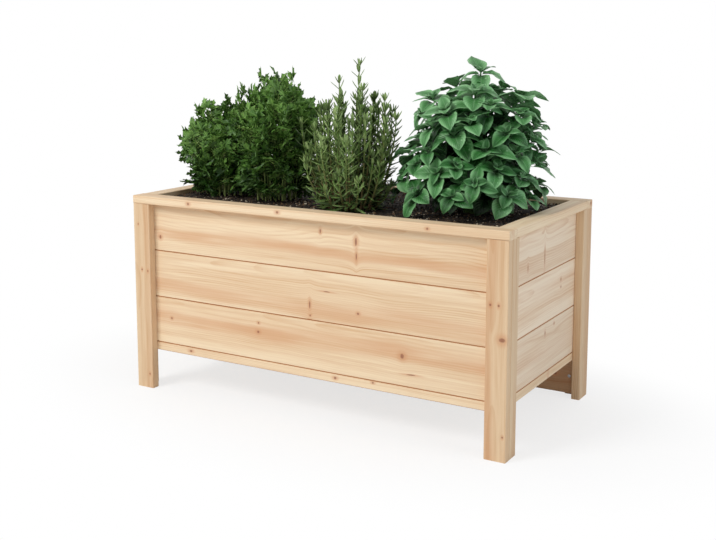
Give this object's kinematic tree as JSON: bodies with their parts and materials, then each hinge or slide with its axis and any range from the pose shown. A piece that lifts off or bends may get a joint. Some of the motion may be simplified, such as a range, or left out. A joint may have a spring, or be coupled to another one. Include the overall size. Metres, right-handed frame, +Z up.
{
  "type": "raised garden bed",
  "caption": "Rectangular wooden raised garden bed on short legs, with tongued wall boards under a flat rim, filled with soil and planted with kitchen herbs.",
  "frame": {"origin": "on the ground, under the middle of the bed", "axes": "+X along the length to the right as seen from the front, +Y towards the back, +Z up"},
  "size_m": [0.914, 0.468, 0.76],
  "materials": {
    "softwood": "planed, unfinished",
    "inner_softwood": "sawn, unfinished",
    "zinc_plated_steel": "zinc plated",
    "lining_fabric": "matte felt",
    "potting_soil": "moist, crumbly",
    "basil_leaf": "satin leaf",
    "parsley_leaf": "satin leaf",
    "rosemary_leaf": "matte leaf"
  },
  "bodies": {
    "root": {"basil_plant": "basil_leaf", "board_screws": "zinc_plated_steel", "bottom_rail_back": "softwood", "bottom_rail_front": "softwood", "bottom_rail_left": "softwood", "bottom_rail_right": "softwood", "bottom_rail_screws": "zinc_plated_steel", "corner_batten_back_left": "inner_softwood", "corner_batten_back_right": "inner_softwood", "corner_batten_front_left": "inner_softwood", "corner_batten_front_right": "inner_softwood", "corner_batten_screws": "zinc_plated_steel", "fabric_lining": "lining_fabric", "floor_slat_1": "inner_softwood", "floor_slat_2": "inner_softwood", "floor_slat_3": "inner_softwood", "floor_slat_4": "inner_softwood", "floor_slat_5": "inner_softwood", "floor_slat_6": "inner_softwood", "floor_slat_7": "inner_softwood", "floor_slat_8": "inner_softwood", "kick_board_back": "softwood", "leg_face_back_left": "softwood", "leg_face_back_right": "softwood", "leg_face_front_left": "softwood", "leg_face_front_right": "softwood", "leg_return_back_left": "softwood", "leg_return_back_right": "softwood", "leg_return_front_left": "softwood", "leg_return_front_right": "softwood", "middle_batten_back": "inner_softwood", "middle_batten_front": "inner_softwood", "parsley_plant": "parsley_leaf", "potting_soil": "potting_soil", "rim_back": "softwood", "rim_front": "softwood", "rim_left": "softwood", "rim_nails": "zinc_plated_steel", "rim_right": "softwood", "rosemary_plant": "rosemary_leaf", "wall_board_back_1": "softwood", "wall_board_back_2": "softwood", "wall_board_back_3": "softwood", "wall_board_front_1": "softwood", "wall_board_front_2": "softwood", "wall_board_front_3": "softwood", "wall_board_left_1": "softwood", "wall_board_left_2": "softwood", "wall_board_left_3": "softwood", "wall_board_right_1": "softwood", "wall_board_right_2": "softwood", "wall_board_right_3": "softwood"}
  },
  "joints": []
}
